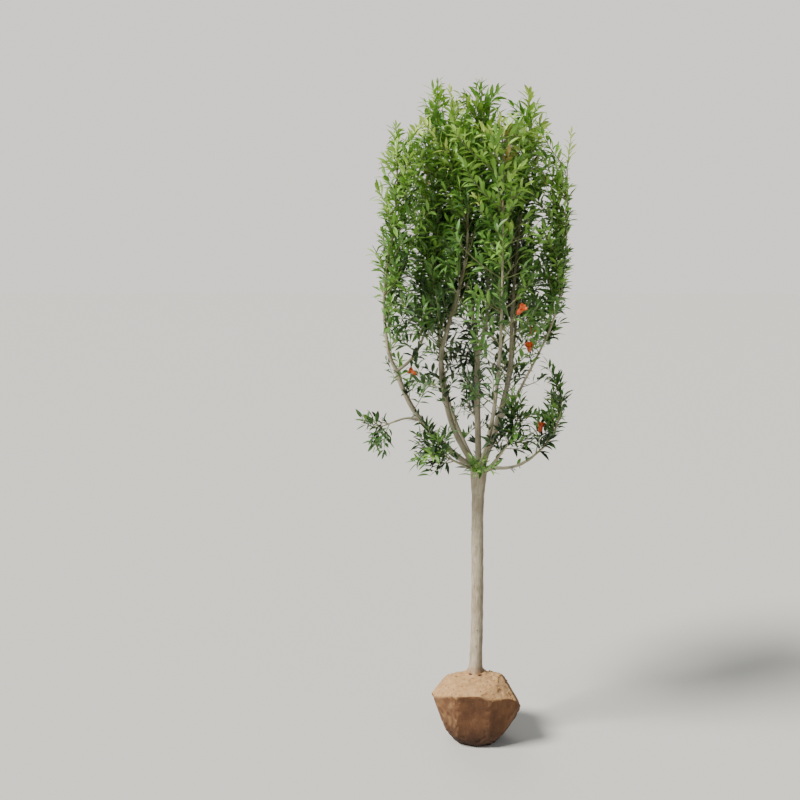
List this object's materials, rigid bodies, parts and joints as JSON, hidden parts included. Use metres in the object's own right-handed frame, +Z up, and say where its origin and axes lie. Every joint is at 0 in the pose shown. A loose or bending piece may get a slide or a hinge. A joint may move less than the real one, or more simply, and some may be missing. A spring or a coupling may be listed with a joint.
{
  "type": "pomegranate sapling with root ball",
  "caption": "Young flowering pomegranate standard lifted for planting: straight stem, narrow upright crown and a spade-cut clay root ball that it stands on.",
  "frame": {"origin": "middle of the flat underside of the root ball, on the ground", "axes": "+Z up along the stem, +X to the right in the picture, +Y away from the camera"},
  "size_m": [0.7025, 0.5772, 2.2274],
  "materials": {
    "clay": "matt sandy clay soil, dry and pale on top, darker on the sides",
    "bark": "smooth grey-beige bark with fine upright mottling and small knots",
    "foliage": "narrow glossy green leaves, yellow-green at the shoot tips, with orange-red flowers"
  },
  "bodies": {
    "root": {"root_ball": "clay", "trunk": "bark", "bough_left": "bark", "bough_centre": "bark", "bough_centre_left": "bark", "bough_centre_right": "bark", "bough_back_left": "bark", "bough_back_right": "bark", "bough_front": "bark", "bough_low_right": "bark", "bough_low_left": "bark", "bough_low_front": "bark", "bough_low_back": "bark", "bough_left_leader": "bark", "bough_left_inner": "bark", "bough_left_whip": "bark", "bough_centre_back": "bark", "bough_centre_leader": "bark", "bough_right": "bark", "foliage_left_leader": "foliage", "foliage_left_inner": "foliage", "foliage_centre_left": "foliage", "foliage_centre_back": "foliage", "foliage_centre_leader": "foliage", "foliage_centre_right": "foliage", "foliage_right": "foliage", "foliage_low_right": "foliage", "foliage_back_left": "foliage", "foliage_back_right": "foliage", "foliage_front": "foliage", "foliage_low_back": "foliage", "foliage_low_front": "foliage", "foliage_low_left": "foliage", "foliage_left_whip": "foliage", "foliage_fork": "foliage"}
  },
  "joints": []
}
